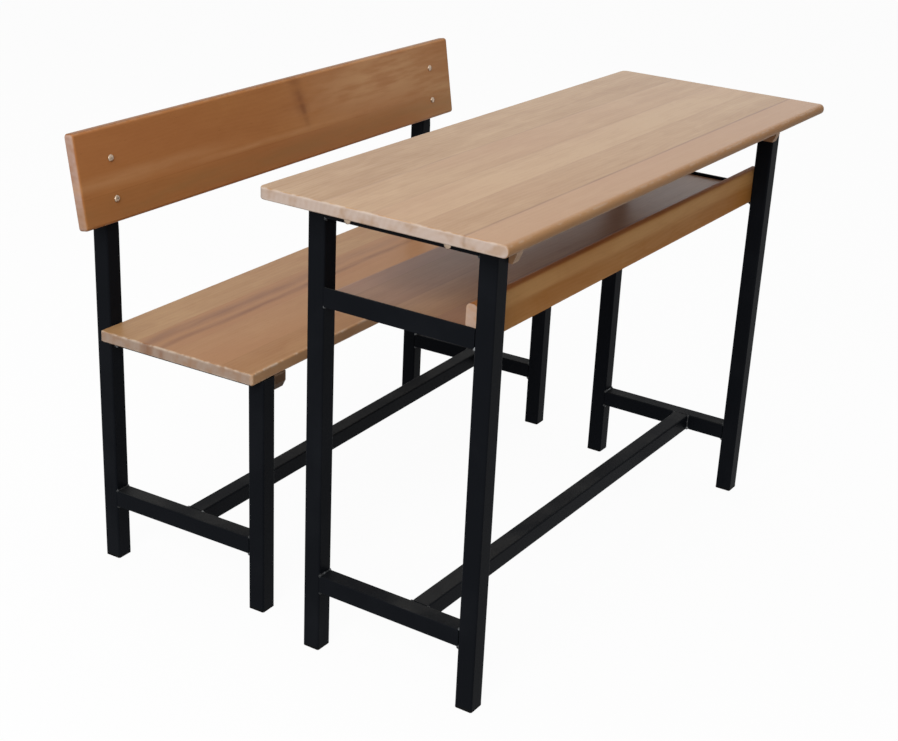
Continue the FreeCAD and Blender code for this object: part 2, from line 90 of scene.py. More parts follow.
def sums(tree, operation, *values):  # one math node
    return add(tree, "ShaderNodeMath", dict(enumerate(values)), operation=operation).outputs[0]


def plus(tree, first, second):
    return sums(tree, "ADD", first, second)


def minus(tree, first, second):
    return sums(tree, "SUBTRACT", first, second)


def times(tree, first, second):
    return sums(tree, "MULTIPLY", first, second)


def over(tree, first, second):
    return sums(tree, "DIVIDE", first, second)


def spread(tree, value, low, high, start=0.0, end=1.0):  # a smooth step from low to high
    return add(tree, "ShaderNodeMapRange", {0: value, 1: low, 2: high, 3: start, 4: end},
               interpolation_type="SMOOTHSTEP").outputs[0]


def blendColour(tree, factor, first, second, how="MIX"):
    return add(tree, "ShaderNodeMix", {0: factor, 6: first, 7: second},
               data_type="RGBA", blend_type=how).outputs[2]


def vectorOf(tree, x, y, z):
    return add(tree, "ShaderNodeCombineXYZ", {0: x, 1: y, 2: z}).outputs[0]


def partsOf(tree, vector):
    return add(tree, "ShaderNodeSeparateXYZ", {0: vector}).outputs


def noise(tree, where, scale, detail):
    return add(tree, "ShaderNodeTexNoise", {"Vector": where, "Scale": scale, "Detail": detail}).outputs[0]


# camera at the photograph's place
view = {
    "place": (-2.228993, -1.412592, 1.37908),
    "yaw": 58.46, "pitch": 22.67, "roll": 3.06,
    "lens": 64.0, "sensor": 36.0, "shift": (-0.02066, 0.01223), "farthest": 60.0,
}
yaw, pitch, roll = (math.radians(view[k]) for k in ("yaw", "pitch", "roll"))
ahead = Vector((math.sin(yaw) * math.cos(pitch), math.cos(yaw) * math.cos(pitch), -math.sin(pitch)))
level = Vector((math.cos(yaw), -math.sin(yaw), 0.0))
upright = level.cross(ahead)
aside = math.cos(roll) * level + math.sin(roll) * upright
above = math.cos(roll) * upright - math.sin(roll) * level
lensData = bpy.data.cameras.new("deskCamera")
lensData.lens, lensData.sensor_width, lensData.sensor_fit = view["lens"], view["sensor"], "HORIZONTAL"
lensData.shift_x, lensData.shift_y = view["shift"]
lensData.clip_end = view["farthest"]
camera = bpy.data.objects.new("deskCamera", lensData)
turned = Matrix((aside, above, -ahead)).transposed().to_4x4()
camera.matrix_world = Matrix.Translation(view["place"]) @ turned
scene.collection.objects.link(camera)
scene.camera = camera
print("camera set")

# white floor and soft studio light; each softbox has its place, size and power
studio = {
    "floorSize": 40.0, "floorDrop": 0.0006, "floorWhite": 0.95, "floorBounce": 0.32, "shadowKept": 0.045,
    "worldLight": 0.32, "white": (1.0, 1.0, 1.0, 1.0), "aim": (0.0, 0.0, 0.4),
    "side": ((-4.0, -1.1, 2.8), 2.6, 138.0), "over": ((0.2, 0.6, 3.6), 3.2, 31.0),
}


def seenDirectly(tree):  # camera, mirror-like and see-through rays meet a plain white
    path = add(tree, "ShaderNodeLightPath").outputs
    seen = sums(tree, "MAXIMUM", path["Is Camera Ray"], path["Is Glossy Ray"])
    return sums(tree, "MAXIMUM", seen, path["Is Transmission Ray"])


floorPaper = bpy.data.materials.new("floorPaper")
floorPaper.use_nodes = True
tree = floorPaper.node_tree
tree.nodes.clear()
seen = seenDirectly(tree)
grey = spread(tree, seen, 0.0, 1.0, studio["floorBounce"], studio["floorWhite"])
lit = add(tree, "ShaderNodeBsdfDiffuse", {"Color": grey}).outputs[0]
glow = add(tree, "ShaderNodeEmission", {"Color": studio["white"], "Strength": 1.0}).outputs[0]
share = times(tree, seen, 1.0 - studio["shadowKept"])
paper = add(tree, "ShaderNodeMixShader", {0: share, 1: lit, 2: glow}).outputs[0]
add(tree, "ShaderNodeOutputMaterial", {"Surface": paper})
floorMesh = bpy.data.meshes.new("studioFloor")
half = studio["floorSize"] / 2
corners = [(x * half, y * half, -studio["floorDrop"]) for x, y in ((-1, -1), (1, -1), (1, 1), (-1, 1))]
floorMesh.from_pydata(corners, [], [(0, 1, 2, 3)])
floorMesh.materials.append(floorPaper)
studioFloor = bpy.data.objects.new("studioFloor", floorMesh)
scene.collection.objects.link(studioFloor)

sky = bpy.data.worlds.new("studioSky")
sky.use_nodes = True
tree = sky.node_tree
tree.nodes.clear()
strength = spread(tree, seenDirectly(tree), 0.0, 1.0, studio["worldLight"], 1.0)
sheet = add(tree, "ShaderNodeBackground", {"Color": studio["white"], "Strength": strength}).outputs[0]
add(tree, "ShaderNodeOutputWorld", {"Surface": sheet})
scene.world = sky

for name in ("side", "over"):
    place, size, power = studio[name]
    lampData = bpy.data.lights.new(name + "Softbox", "AREA")
    lampData.shape, lampData.size, lampData.energy = "SQUARE", size, power
    lamp = bpy.data.objects.new(name + "Softbox", lampData)
    towards = Vector(studio["aim"]) - Vector(place)
    lamp.matrix_world = Matrix.Translation(place) @ towards.to_track_quat("-Z", "Y").to_matrix().to_4x4()
    scene.collection.objects.link(lamp)
print("studio lit")

# beech: grain along the first coordinate, one number for each stave of a glued-up board
beechGrain, takes, gives = newTree(
    "beechGrain", "ShaderNodeTree",
    (("Place", "Vector"), ("Facing", "Vector"), ("Stave", "Float", 0.0), ("Tone", "Float", 0.5),
     ("Joint", "Float", 0.0), ("Pale", "Color"), ("Dark", "Color"), ("Blush", "Color"), ("End", "Color"),
     ("Figure", "Float", 0.5), ("Seed", "Float", 1.0)),
    (("Color", "Color"), ("Roughness", "Float"), ("Height", "Float")))
# each pattern's changes in a metre along and across the grain, its detail and its warp
beech = {
    "broad": (1.1, 20.0, 3.0, 0.8), "streaks": (4.5, 135.0, 4.0, 0.0), "mottle": (12.0, 38.0, 3.0, 0.6),
    "flecks": (70.0, 900.0, 2.0, 0.0), "clouds": (2.6, 5.0, 2.0, 0.0), "runOut": (2.2, 9.0, 1.5, 0.0),
    "glueGaps": (5.0, 0.0, 3.0, 0.0),
    "fleckBrown": (0.36, 0.24, 0.17, 1.0), "glueBrown": (0.36, 0.21, 0.13, 1.0),
    "poreBrown": (0.4, 0.3, 0.24, 1.0), "endGlueBrown": (0.20, 0.11, 0.065, 1.0),
}
tree = beechGrain
grainPlace = partsOf(tree, takes["Place"])
staveKey = vectorOf(tree, takes["Stave"], takes["Seed"], 0.5)
chance = add(tree, "ShaderNodeTexWhiteNoise", {"Vector": staveKey}).outputs[0]
shiftX = plus(tree, grainPlace[0], times(tree, chance, 9.0))  # each stave shows another stretch of wood
shiftY = plus(tree, grainPlace[1], times(tree, chance, 5.3))


def grainNoise(tree, pattern):
    lengthways, crossways, detail, warp = beech[pattern]
    where = vectorOf(tree, times(tree, shiftX, lengthways), times(tree, shiftY, crossways),
                     times(tree, grainPlace[2], crossways))
    look = {"Vector": where, "Scale": 1.0, "Detail": detail, "Roughness": 0.55, "Distortion": warp}
    return add(tree, "ShaderNodeTexNoise", look).outputs[0]


def centred(tree, value, amount):  # a 0 to 1 pattern as a change of tone around nothing
    return times(tree, minus(tree, value, 0.5), times(tree, takes["Figure"], amount))


broad = grainNoise(tree, "broad")
streaks = grainNoise(tree, "streaks")
mottle = grainNoise(tree, "mottle")
flecks = grainNoise(tree, "flecks")
clouds = grainNoise(tree, "clouds")
# year rings cut along the board run out in long flames
flameHeight = plus(tree, shiftY, times(tree, grainNoise(tree, "runOut"), 0.055))
flameLook = {"Vector": vectorOf(tree, 0.0, flameHeight, 0.0), "Scale": 42.0, "Distortion": 0.6,
             "Detail": 2.0, "Detail Scale": 0.6}
flameLines = add(tree, "ShaderNodeTexWave", flameLook, wave_type="BANDS", bands_direction="Y").outputs[1]
tone = takes["Tone"]
for pattern, amount in ((broad, 2.0), (streaks, 0.5), (mottle, 1.9), (clouds, 1.0), (flameLines, 0.22)):
    tone = plus(tree, tone, centred(tree, pattern, amount))
wood = blendColour(tree, add(tree, "ShaderNodeClamp", {0: tone}).outputs[0], takes["Pale"], takes["Dark"])
warmth = plus(tree, times(tree, chance, 0.6), times(tree, clouds, 0.6))
wood = blendColour(tree, spread(tree, warmth, 0.35, 0.95, 0.0, 0.8), wood, takes["Blush"])
fleckMask = spread(tree, flecks, 0.62, 0.74, 0.0, 0.20)
wood = blendColour(tree, fleckMask, wood, beech["fleckBrown"], "MULTIPLY")
glueGaps = spread(tree, grainNoise(tree, "glueGaps"), 0.32, 0.62, 0.35, 1.0)
wood = blendColour(tree, times(tree, takes["Joint"], glueGaps), wood, beech["glueBrown"], "MULTIPLY")
# end grain: paler, with wide soft year rings and open pores
endMask = spread(tree, sums(tree, "ABSOLUTE", partsOf(tree, takes["Facing"])[0]), 0.45, 0.85)
ringPlace = vectorOf(tree, plus(tree, grainPlace[1], times(tree, chance, 0.3)),
                     plus(tree, grainPlace[2], times(tree, chance, 0.12)), 0.0)
ringLook = {"Vector": ringPlace, "Scale": 34.0, "Distortion": 2.5, "Detail": 1.0, "Detail Scale": 0.7}
rings = add(tree, "ShaderNodeTexWave", ringLook, wave_type="RINGS", rings_direction="Z").outputs[1]
blotches = noise(tree, takes["Place"], 45.0, 2.0)
pores = noise(tree, takes["Place"], 1500.0, 1.0)
endTone = plus(tree, times(tree, rings, 0.08), spread(tree, blotches, 0.4, 0.72, 0.0, 0.42))
endWood = blendColour(tree, endTone, takes["End"], takes["Dark"])
poreMask = spread(tree, pores, 0.6, 0.72, 0.0, 0.25)
endWood = blendColour(tree, poreMask, endWood, beech["poreBrown"], "MULTIPLY")
endWood = blendColour(tree, times(tree, takes["Joint"], 0.25), endWood, beech["endGlueBrown"], "MULTIPLY")
tree.links.new(blendColour(tree, endMask, wood, endWood), gives["Color"])
rough = plus(tree, times(tree, minus(tree, streaks, 0.5), 0.10), 0.44)
tree.links.new(plus(tree, rough, times(tree, endMask, 0.18)), gives["Roughness"])
relief = minus(tree, times(tree, streaks, 0.5), times(tree, fleckMask, 0.6))
tree.links.new(minus(tree, relief, times(tree, takes["Joint"], 0.8)), gives["Height"])

# a soft streak or closed knot, patchy along the grain
softStreak, takes, gives = newTree(
    "softStreak", "ShaderNodeTree",
    (("Place", "Vector"), ("Along", "Float", 0.0), ("Across", "Float", 0.0), ("Length", "Float", 0.3),
     ("Width", "Float", 0.004), ("Wander", "Float", 0.004), ("Slant", "Float", 0.0)),
    (("Mask", "Float"),))
tree = softStreak
place = partsOf(tree, takes["Place"])
bend = noise(tree, vectorOf(tree, place[0], 0.3, 0.7), 5.0, 1.0)
offset = times(tree, minus(tree, bend, 0.5), takes["Wander"])
cross = minus(tree, minus(tree, place[1], takes["Across"]), offset)
lean = plus(tree, takes["Along"], times(tree, cross, takes["Slant"]))
far = over(tree, sums(tree, "ABSOLUTE", minus(tree, place[0], lean)), takes["Length"])
thin = spread(tree, over(tree, sums(tree, "ABSOLUTE", cross), takes["Width"]), 0.0, 1.0, 1.0, 0.0)
patchPlace = vectorOf(tree, times(tree, place[0], 9.0), times(tree, place[1], 70.0), 0.4)
patches = noise(tree, patchPlace, 1.0, 3.0)
soft = times(tree, thin, spread(tree, far, 0.0, 0.5, 1.0, 0.0))
tree.links.new(times(tree, soft, spread(tree, patches, 0.3, 0.65, 0.4, 1.0)), gives["Mask"])

# edges of a board rubbed pale and chipped: near to two of its faces at once
rubbedEdge, takes, gives = newTree(
    "rubbedEdge", "ShaderNodeTree",
    (("Place", "Vector"), ("Half", "Vector"), ("Reach", "Float", 0.005), ("Scale", "Float", 55.0)),
    (("Mask", "Float"),))
tree = rubbedEdge
outwards = add(tree, "ShaderNodeVectorMath", {0: takes["Place"]}, operation="ABSOLUTE").outputs[0]
depths = add(tree, "ShaderNodeVectorMath", {0: takes["Half"], 1: outwards}, operation="SUBTRACT").outputs[0]
depth = partsOf(tree, depths)
second = sums(tree, "MAXIMUM", sums(tree, "MINIMUM", depth[0], depth[1]),
              sums(tree, "MINIMUM", sums(tree, "MAXIMUM", depth[0], depth[1]), depth[2]))
chips = noise(tree, takes["Place"], takes["Scale"], 4.0)
nearness = spread(tree, over(tree, second, takes["Reach"]), 0.0, 1.0, 1.0, 0.0)
tree.links.new(times(tree, nearness, spread(tree, chips, 0.40, 0.62)), gives["Mask"])

# settled dust and rubbed places, used by the painted, plated and moulded finishes; on the welds the rubbed places
# are painted glints
handledLook, takes, gives = newTree(
    "handledLook", "ShaderNodeTree",
    (("Scale", "Float", 40.0), ("Fine", "Float", 900.0), ("Base", "Color"), ("Rubbed", "Color"),
     ("Amount", "Float", 0.5), ("Rough", "Float", 0.4), ("Rough Spread", "Float", 0.12),
     ("Dust", "Float", 0.0), ("Dusty", "Color")),
    (("Color", "Color"), ("Roughness", "Float"), ("Height", "Float")))
tree = handledLook
coords = add(tree, "ShaderNodeTexCoord").outputs
spot = coords["Object"]
cloudy = noise(tree, spot, takes["Scale"], 4.0)
grit = noise(tree, spot, takes["Fine"], 2.0)
rubbedOrGlint = times(tree, spread(tree, cloudy, 0.45, 0.75), takes["Amount"])
coat = blendColour(tree, rubbedOrGlint, takes["Base"], takes["Rubbed"])
upward = spread(tree, partsOf(tree, coords["Normal"])[2], 0.6, 0.95)  # dust lies on top faces
drift = spread(tree, noise(tree, spot, 11.0, 5.0), 0.36, 0.66, 0.15, 1.0)
settled = times(tree, times(tree, upward, drift), takes["Dust"])
tree.links.new(blendColour(tree, settled, coat, takes["Dusty"]), gives["Color"])
wobble = times(tree, minus(tree, cloudy, 0.5), takes["Rough Spread"])
fineWobble = times(tree, minus(tree, grit, 0.5), 0.08)
tree.links.new(plus(tree, plus(tree, takes["Rough"], wobble), fineWobble), gives["Roughness"])
tree.links.new(grit, gives["Height"])


def surface(name, shine, bump):  # a material with its Principled shader and a bump into its normal
    made = bpy.data.materials.new(name)
    made.use_nodes = True
    tree = made.node_tree
    tree.nodes.clear()
    shader = add(tree, "ShaderNodeBsdfPrincipled", shine)
    add(tree, "ShaderNodeOutputMaterial", {"Surface": shader.outputs[0]})
    relief = add(tree, "ShaderNodeBump", {"Strength": bump[0], "Distance": bump[1]})
    tree.links.new(relief.outputs[0], shader.inputs["Normal"])
    return made, tree, shader.inputs, relief.inputs["Height"]


def bodyBox(node, body):  # corners of a node along its own body's depth and width
    straighten = Matrix.Rotation(-bodyTurn[body], 3, "Z")
    points = np.array([straighten @ v.co for v in cadNodes[node].data.vertices])
    return Vector(points.min(0)), Vector(points.max(0))


def dress(node, material):
    mesh = cadNodes[node].data
    mesh.materials.clear()
    mesh.materials.append(material)


# a glue line's half width, how far its stain reaches, and how softly the tone changes across it
glueLine = {"half": 0.0004, "jointReach": 0.0013, "soften": 0.0004}
lacquerCoat = {"rough": 0.22, "bump": (0.10, 0.0006), "edgeShare": 0.02}
grainLabels = ("Pale", "Dark", "Blush", "End", "Figure", "Seed")
streakLabels = ("Along", "Across", "Length", "Width", "Wander", "Slant")  # then its colour and strength


def woodFor(name, node, body, look):  # each board's own beech, laid along the board
    shine = {"Coat Roughness": lacquerCoat["rough"], "Specular IOR Level": look["gloss"]}
    made, tree, shader, height = surface(name, shine, lacquerCoat["bump"])
    look = dict(glueLine, **look)
    low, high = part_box(node)
    centre = (low + high) / 2
    turn = (look.get("tilt", 0.0), 0.0, bodyTurn[body] + look.get("swing", 0.0))
    flatten = Euler(turn).to_matrix().transposed()
    half = np.abs([flatten @ (v.co - centre) for v in cadNodes[node].data.vertices]).max(0)
    coords = add(tree, "ShaderNodeTexCoord").outputs
    laid = {"Vector": coords["Object"], "Location": centre, "Rotation": turn}
    where = add(tree, "ShaderNodeMapping", laid, vector_type="TEXTURE").outputs[0]
    faced = {"Vector": coords["Normal"], "Rotation": turn}
    facing = add(tree, "ShaderNodeMapping", faced, vector_type="TEXTURE").outputs[0]
    facingParts = partsOf(tree, facing)
    across = partsOf(tree, where)[1]
    stave, joint = 0.0, 0.0
    tone = previous = look["firstTone"]
    # each entry: place of the glue line, tone of the stave behind it, darkness of the line
    for start, nextTone, strength in look.get("staves", ()):
        behind = spread(tree, across, start - look["soften"], start + look["soften"])
        stave = plus(tree, stave, sums(tree, "GREATER_THAN", across, start))
        tone = sums(tree, "MULTIPLY_ADD", behind, nextTone - previous, tone)
        gap = sums(tree, "ABSOLUTE", minus(tree, across, start))
        line = spread(tree, gap, look["half"], look["jointReach"], strength, 0.0)
        joint = sums(tree, "MAXIMUM", joint, line)
        previous = nextTone
    values = {"Place": where, "Facing": facing, "Stave": stave, "Tone": tone, "Joint": joint}
    values.update((label, look[label]) for label in grainLabels)
    grain = add(tree, "ShaderNodeGroup", values, node_tree=beechGrain).outputs
    colour = grain["Color"]
    for streak in look.get("streaks", ()):
        values = dict(zip(streakLabels, streak), Place=where)
        mark = add(tree, "ShaderNodeGroup", values, node_tree=softStreak).outputs[0]
        colour = blendColour(tree, times(tree, mark, streak[7]), colour, streak[6])
    worn = add(tree, "ShaderNodeGroup", {"Place": where, "Half": half}, node_tree=rubbedEdge).outputs[0]
    colour = blendColour(tree, times(tree, worn, look["worn"]), colour, look["Bare"])
    if "UpFaceDarkening" in look:  # painted shade: the face that looks up is darkened; on the lip it stands in for the desk top's shadow on its top face, on the backrest it cools and darkens the top edge
        faceMaskOrLook = spread(tree, facingParts[1], 0.6, 0.95)
        colour = blendColour(tree, faceMaskOrLook, colour, look["UpFaceDarkening"], "MULTIPLY")
    tree.links.new(colour, shader["Base Color"])
    tree.links.new(grain["Roughness"], shader["Roughness"])
    tree.links.new(grain["Height"], height)
    # the lacquer thins out round the edges
    thinned = lacquerCoat["edgeShare"] * look["lacquer"]
    lacquer = spread(tree, facingParts[2], 0.6, 0.98, thinned, look["lacquer"])
    tree.links.new(lacquer, shader["Coat Weight"])
    dress(node, made)


desktop = {
    "Pale": tint(196, 158, 114), "Dark": tint(166, 122, 73), "Blush": tint(185, 138, 98),
    "End": tint(203, 183, 170), "Bare": tint(214, 198, 184), "worn": 0.6, "Figure": 0.56, "Seed": 3.0,
    "lacquer": 0.58, "gloss": 0.04, "firstTone": 0.78, "jointReach": 0.0036,
    "staves": ((-0.138, 0.56, 0.62), (-0.062, 0.18, 0.05), (0.012, 0.46, 0.14), (0.093, 0.68, 0.22)),
}
woodFor("desktopBeech", "desk_top", "desk", desktop)

bookShelf = {
    "Pale": tint(190, 146, 108), "Dark": tint(156, 110, 74), "Blush": tint(170, 122, 98),
    "End": tint(180, 148, 120), "Bare": tint(200, 172, 146), "worn": 0.4, "Figure": 0.48, "Seed": 5.0,
    "lacquer": 0.24, "gloss": 0.2, "firstTone": 0.5,
    "staves": ((-0.06, 0.35, 0.25), (0.01, 0.6, 0.2), (0.08, 0.45, 0.25)),
}
woodFor("shelfBeech", "book_shelf", "desk", bookShelf)

shelfLip = {
    "Pale": tint(222, 167, 105), "Dark": tint(188, 124, 59), "Blush": tint(204, 138, 76),
    # painted shade on the lip's top face, which lies under the desk top
    "End": tint(192, 164, 146), "Bare": tint(214, 176, 132), "worn": 0.3, "UpFaceDarkening": tint(228, 204, 200),
    "Figure": 0.40, "Seed": 8.0, "lacquer": 0.0, "gloss": 0.04, "firstTone": 0.85, "tilt": math.radians(90),
    # painted light and shade: the paler upper band, softly blended with no glue line, is light on the lip's
    # rounded top edge, and the darker lower band is the shaded front face
    "staves": ((0.004, 0.10, 0.0),), "soften": 0.006,
}
woodFor("lipBeech", "shelf_lip", "desk", shelfLip)

battens = {
    "Pale": tint(190, 152, 114), "Dark": tint(158, 116, 80), "Blush": tint(176, 130, 96),
    # painted highlight: the very pale End lights up the batten's front end, which sits in the desk top's shadow
    "End": tint(240, 206, 178), "Bare": tint(214, 184, 154), "worn": 0.3, "Figure": 0.5, "Seed": 2.0,
    "lacquer": 0.1, "gloss": 0.1, "firstTone": 0.5, "swing": math.radians(90),
}
for side in ("left", "right"):
    woodFor(side + "DeskBattenBeech", "desk_batten_" + side, "desk", battens)
# painted shade: a darker copy of the batten beech, standing in for the shadow under the seat and the desk
shadedSeatBattens = dict(battens, Pale=tint(120, 92, 66), Dark=tint(92, 66, 46), Blush=tint(104, 74, 54),
                   End=tint(96, 72, 52), Seed=7.0)
for side in ("left", "right"):
    woodFor(side + "SeatBattenShadedBeech", "seat_batten_" + side, "bench", shadedSeatBattens)

seat = {
    "Pale": tint(188, 147, 102), "Dark": tint(157, 108, 65), "Blush": tint(175, 124, 83),
    "End": tint(173, 151, 135), "Bare": tint(212, 194, 174), "worn": 0.75, "Figure": 0.42, "Seed": 4.0,
    "lacquer": 0.10, "gloss": 0.14, "firstTone": 0.62,
    "staves": ((-0.092, 0.40, 0.08), (0.004, 0.62, 0.03), (0.078, 0.36, 0.03)),
    "streaks": ((-0.1, 0.026, 1.9, 0.012, 0.022, 0.0, tint(122, 78, 54), 0.75),
                (-0.3, 0.054, 1.7, 0.020, 0.03, 0.0, tint(134, 92, 66), 0.75),
                # painted light: a pale band along the seat's front edge, brightening the edge that lies in the
                # desk's shadow
                (0.0, -0.1545, 4.0, 0.008, 0.0, 0.0, tint(212, 168, 126), 0.6)),
}
woodFor("seatBeech", "seat_board", "bench", seat)

backLean = math.radians(9.0)  # the rear posts lean back above the seat
backrest = {
    "Pale": tint(196, 137, 80), "Dark": tint(164, 105, 55), "Blush": tint(180, 114, 66),
    "End": tint(190, 157, 141), "Bare": tint(204, 164, 132), "worn": 0.4, "UpFaceDarkening": tint(214, 222, 238),
    "Figure": 0.50, "Seed": 6.0, "lacquer": 0.06, "gloss": 0.08, "firstTone": 0.72,
    "tilt": math.radians(90) - backLean, "staves": ((-0.028, 0.45, 0.12),),
    "streaks": ((0.30, 0.035, 0.75, 0.10, 0.0, 0.0, tint(220, 171, 124), 0.85),
                (0.53, -0.04, 0.5, 0.12, 0.0, 0.0, tint(216, 172, 124), 0.65),
                (0.0, -0.053, 4.0, 0.036, 0.0, 0.0, tint(162, 115, 68), 0.7),
                (-0.1, -0.021, 0.9, 0.008, 0.003, 0.0, tint(206, 152, 102), 0.65),
                (-0.42, -0.008, 0.7, 0.018, 0.003, 0.0, tint(208, 156, 108), 0.5),
                (0.025, 0.045, 0.06, 0.075, 0.0, -0.3, tint(128, 70, 34), 0.5),
                (0.035, 0.020, 0.025, 0.05, 0.0, -0.3, tint(110, 58, 28), 0.4)),
}
woodFor("backrestBeech", "backrest_board", "bench", backrest)
print("boards finished")


def handledFinish(name, shine, bump, look):
    made, tree, shader, height = surface(name, shine, bump)
    faceMaskOrLook = add(tree, "ShaderNodeGroup", look, node_tree=handledLook)
    tree.links.new(faceMaskOrLook.outputs["Color"], shader["Base Color"])
    tree.links.new(faceMaskOrLook.outputs["Roughness"], shader["Roughness"])
    tree.links.new(faceMaskOrLook.outputs["Height"], height)
    return made


blackPaint = handledFinish(
    "blackPaint", {"Specular IOR Level": 0.02}, (0.08, 0.0004),
    {"Scale": 9.0, "Fine": 1100.0, "Base": tint(19, 21, 25), "Rubbed": tint(29, 31, 35), "Amount": 0.5,
     "Rough": 0.46, "Rough Spread": 0.14, "Dust": 0.5, "Dusty": tint(62, 62, 61)})
# painted glints: pale grey spots on the dark weld drops stand in for light glinting off bare steel
weldPaintedGlints = handledFinish(
    "weldPaintedGlints", {"Specular IOR Level": 0.3}, (0.10, 0.0003),
    {"Scale": 75.0, "Fine": 1500.0, "Base": tint(20, 22, 25), "Rubbed": tint(176, 179, 182), "Amount": 1.0,
     "Rough": 0.34, "Rough Spread": 0.12, "Dust": 0.1, "Dusty": tint(62, 62, 61)})
# painted reflection: the zinc's base is tinted warm brown, standing in for the wood reflected in the bolt heads
zincSteel = handledFinish(
    "zincSteel", {"Metallic": 1.0}, (0.06, 0.0002),
    {"Scale": 160.0, "Fine": 2600.0, "Base": tint(178, 158, 138), "Rubbed": tint(130, 113, 97), "Amount": 0.8,
     "Rough": 0.34, "Rough Spread": 0.16, "Dust": 0.1, "Dusty": tint(120, 116, 110)})
blackPlastic = handledFinish(
    "blackPlastic", {"Specular IOR Level": 0.03}, (0.18, 0.0003),
    {"Scale": 60.0, "Fine": 1700.0, "Base": tint(18, 18, 19), "Rubbed": tint(34, 34, 33), "Amount": 0.45,
     "Rough": 0.55, "Rough Spread": 0.12, "Dust": 0.3, "Dusty": tint(62, 62, 61)})
paintedWords = ("_leg_", "_post_", "rail_", "stretcher", "_angle_")
paintedNodes = [n for n in cadNodes if any(word in n for word in paintedWords)]
for node in paintedNodes:
    dress(node, blackPaint)
mouldedNodes = [n for n in cadNodes if n.endswith(("_plugs", "_caps"))]
for node in mouldedNodes:
    dress(node, blackPlastic)
print("frame painted,", len(paintedNodes), "tubes and angles,", len(mouldedNodes), "sets of plugs and caps")

# how near points count as one, how level is level, how steep is upright, and how near the rim is the rim
measuring = {"sameCorner": 1e-5, "level": 0.05, "steep": 0.9, "rim": 2e-4}


def looseSolids(node, body):  # the separate solids of a node, as arrays of points along the body's own axes
    shell = bmesh.new()
    shell.from_mesh(cadNodes[node].data)
    bmesh.ops.remove_doubles(shell, verts=shell.verts, dist=measuring["sameCorner"])
    straighten = Matrix.Rotation(-bodyTurn[body], 3, "Z")
    left, found = set(shell.verts), []
    while left:
        reach, island = [left.pop()], []
        while reach:
            corner = reach.pop()
            island.append(straighten @ corner.co)
            for edge in corner.link_edges:
                other = edge.other_vert(corner)
                if other in left:
                    left.remove(other)
                    reach.append(other)
        found.append(np.array(island))
    shell.free()
    return sorted(found, key=lambda points: tuple(points.mean(0).round(3)))


def fastenerPlaces(node, body, flat=False):  # seat, outward axis and sizes of each bolt, nut, washer or screw
    places = []
    for points in looseSolids(node, body):
        spin = np.linalg.eigh(np.cov(points.T))[1]
        axis = spin[:, 0] if flat else spin[:, 2]
        axis = np.where(np.abs(axis) < measuring["level"], 0.0, axis)  # level bolts are exactly level
        axis /= np.linalg.norm(axis)
        aside = np.cross(axis, (0.0, 0.0, 1.0) if abs(axis[2]) < measuring["steep"] else (1.0, 0.0, 0.0))
        aside /= np.linalg.norm(aside)
        triad = np.array((axis, aside, np.cross(axis, aside)))
        spans = points @ triad.T
        middle = (spans.min(0) + spans.max(0)) / 2 @ triad
        height = (points - middle) @ axis
        reach = np.linalg.norm(points - middle - np.outer(height, axis), axis=1)
        widest = height[reach > reach.max() - measuring["rim"]]
        if widest.mean() < (height.min() + height.max()) / 2:  # the head is the widest end
            axis, height, widest = -axis, -height, -widest
        base = height.min() if flat else widest.min()
        places.append({"seat": middle + axis * base, "axis": axis, "wide": float(2 * reach.max()),
                       "rise": float(height.max() - base), "length": float(widest.min() - height.min())})
    return places


# runs a node tree on loose points, into a plain mesh
def grow(name, tree, body, points, values, edges=(), axes=()):
    base = bpy.data.meshes.new(name + "Points")
    base.from_pydata([tuple(p) for p in points], list(edges), [])
    if len(axes):
        attribute = base.attributes.new("axis", "FLOAT_VECTOR", "POINT")
        attribute.data.foreach_set("vector", np.array(axes, np.float32).ravel())
    piece = bpy.data.objects.new(name, base)
    scene.collection.objects.link(piece)
    modifier = piece.modifiers.new("nodes", "NODES")
    modifier.node_group = tree
    for item in tree.interface.items_tree:
        if item.in_out == "INPUT" and item.name in values:
            modifier[item.identifier] = values[item.name]
    bpy.context.view_layer.update()
    made = bpy.data.meshes.new_from_object(piece.evaluated_get(bpy.context.evaluated_depsgraph_get()))
    piece.modifiers.clear()
    piece.data = made
    made.name = name
    made.transform(Matrix.Rotation(bodyTurn[body], 4, "Z"))
    bpy.data.meshes.remove(base)
    return piece


def finished(tree, copies, takes, gives, smooth=None):  # the copies made one mesh, with the tree's own finish
    whole = add(tree, "GeometryNodeRealizeInstances", {0: copies}).outputs[0]
    if smooth is not None:
        look = {"Geometry": whole, "Shade Smooth": smooth}
        whole = add(tree, "GeometryNodeSetShadeSmooth", look).outputs[0]
    whole = add(tree, "GeometryNodeSetMaterial", {0: whole, "Material": takes["Finish"]}).outputs[0]
    tree.links.new(whole, gives[0])


def onPoints(tree, takes, gives, solid):  # the shape on every point, turned to its axis
    axis = add(tree, "GeometryNodeInputNamedAttribute", {"Name": "axis"}, data_type="FLOAT_VECTOR").outputs[0]
    turned = add(tree, "FunctionNodeAlignRotationToVector", {"Vector": axis}, axis="Z").outputs[0]
    copies = {"Points": takes["Points"], "Instance": solid, "Rotation": turned}
    finished(tree, add(tree, "GeometryNodeInstanceOnPoints", copies).outputs[0], takes, gives)


def lifted(tree, shape, rise):
    moved = {"Geometry": shape, "Translation": vectorOf(tree, 0.0, 0.0, rise)}
    return add(tree, "GeometryNodeTransform", moved).outputs[0]


def joinShapes(tree, *shapes):
    joined = add(tree, "GeometryNodeJoinGeometry")
    for shape in reversed(shapes):
        tree.links.new(shape, joined.inputs[0])
    return joined.outputs[0]


pointSockets = (("Points", "Geometry"), ("Finish", "Material"))
shapeSocket = (("Shape", "Geometry"),)

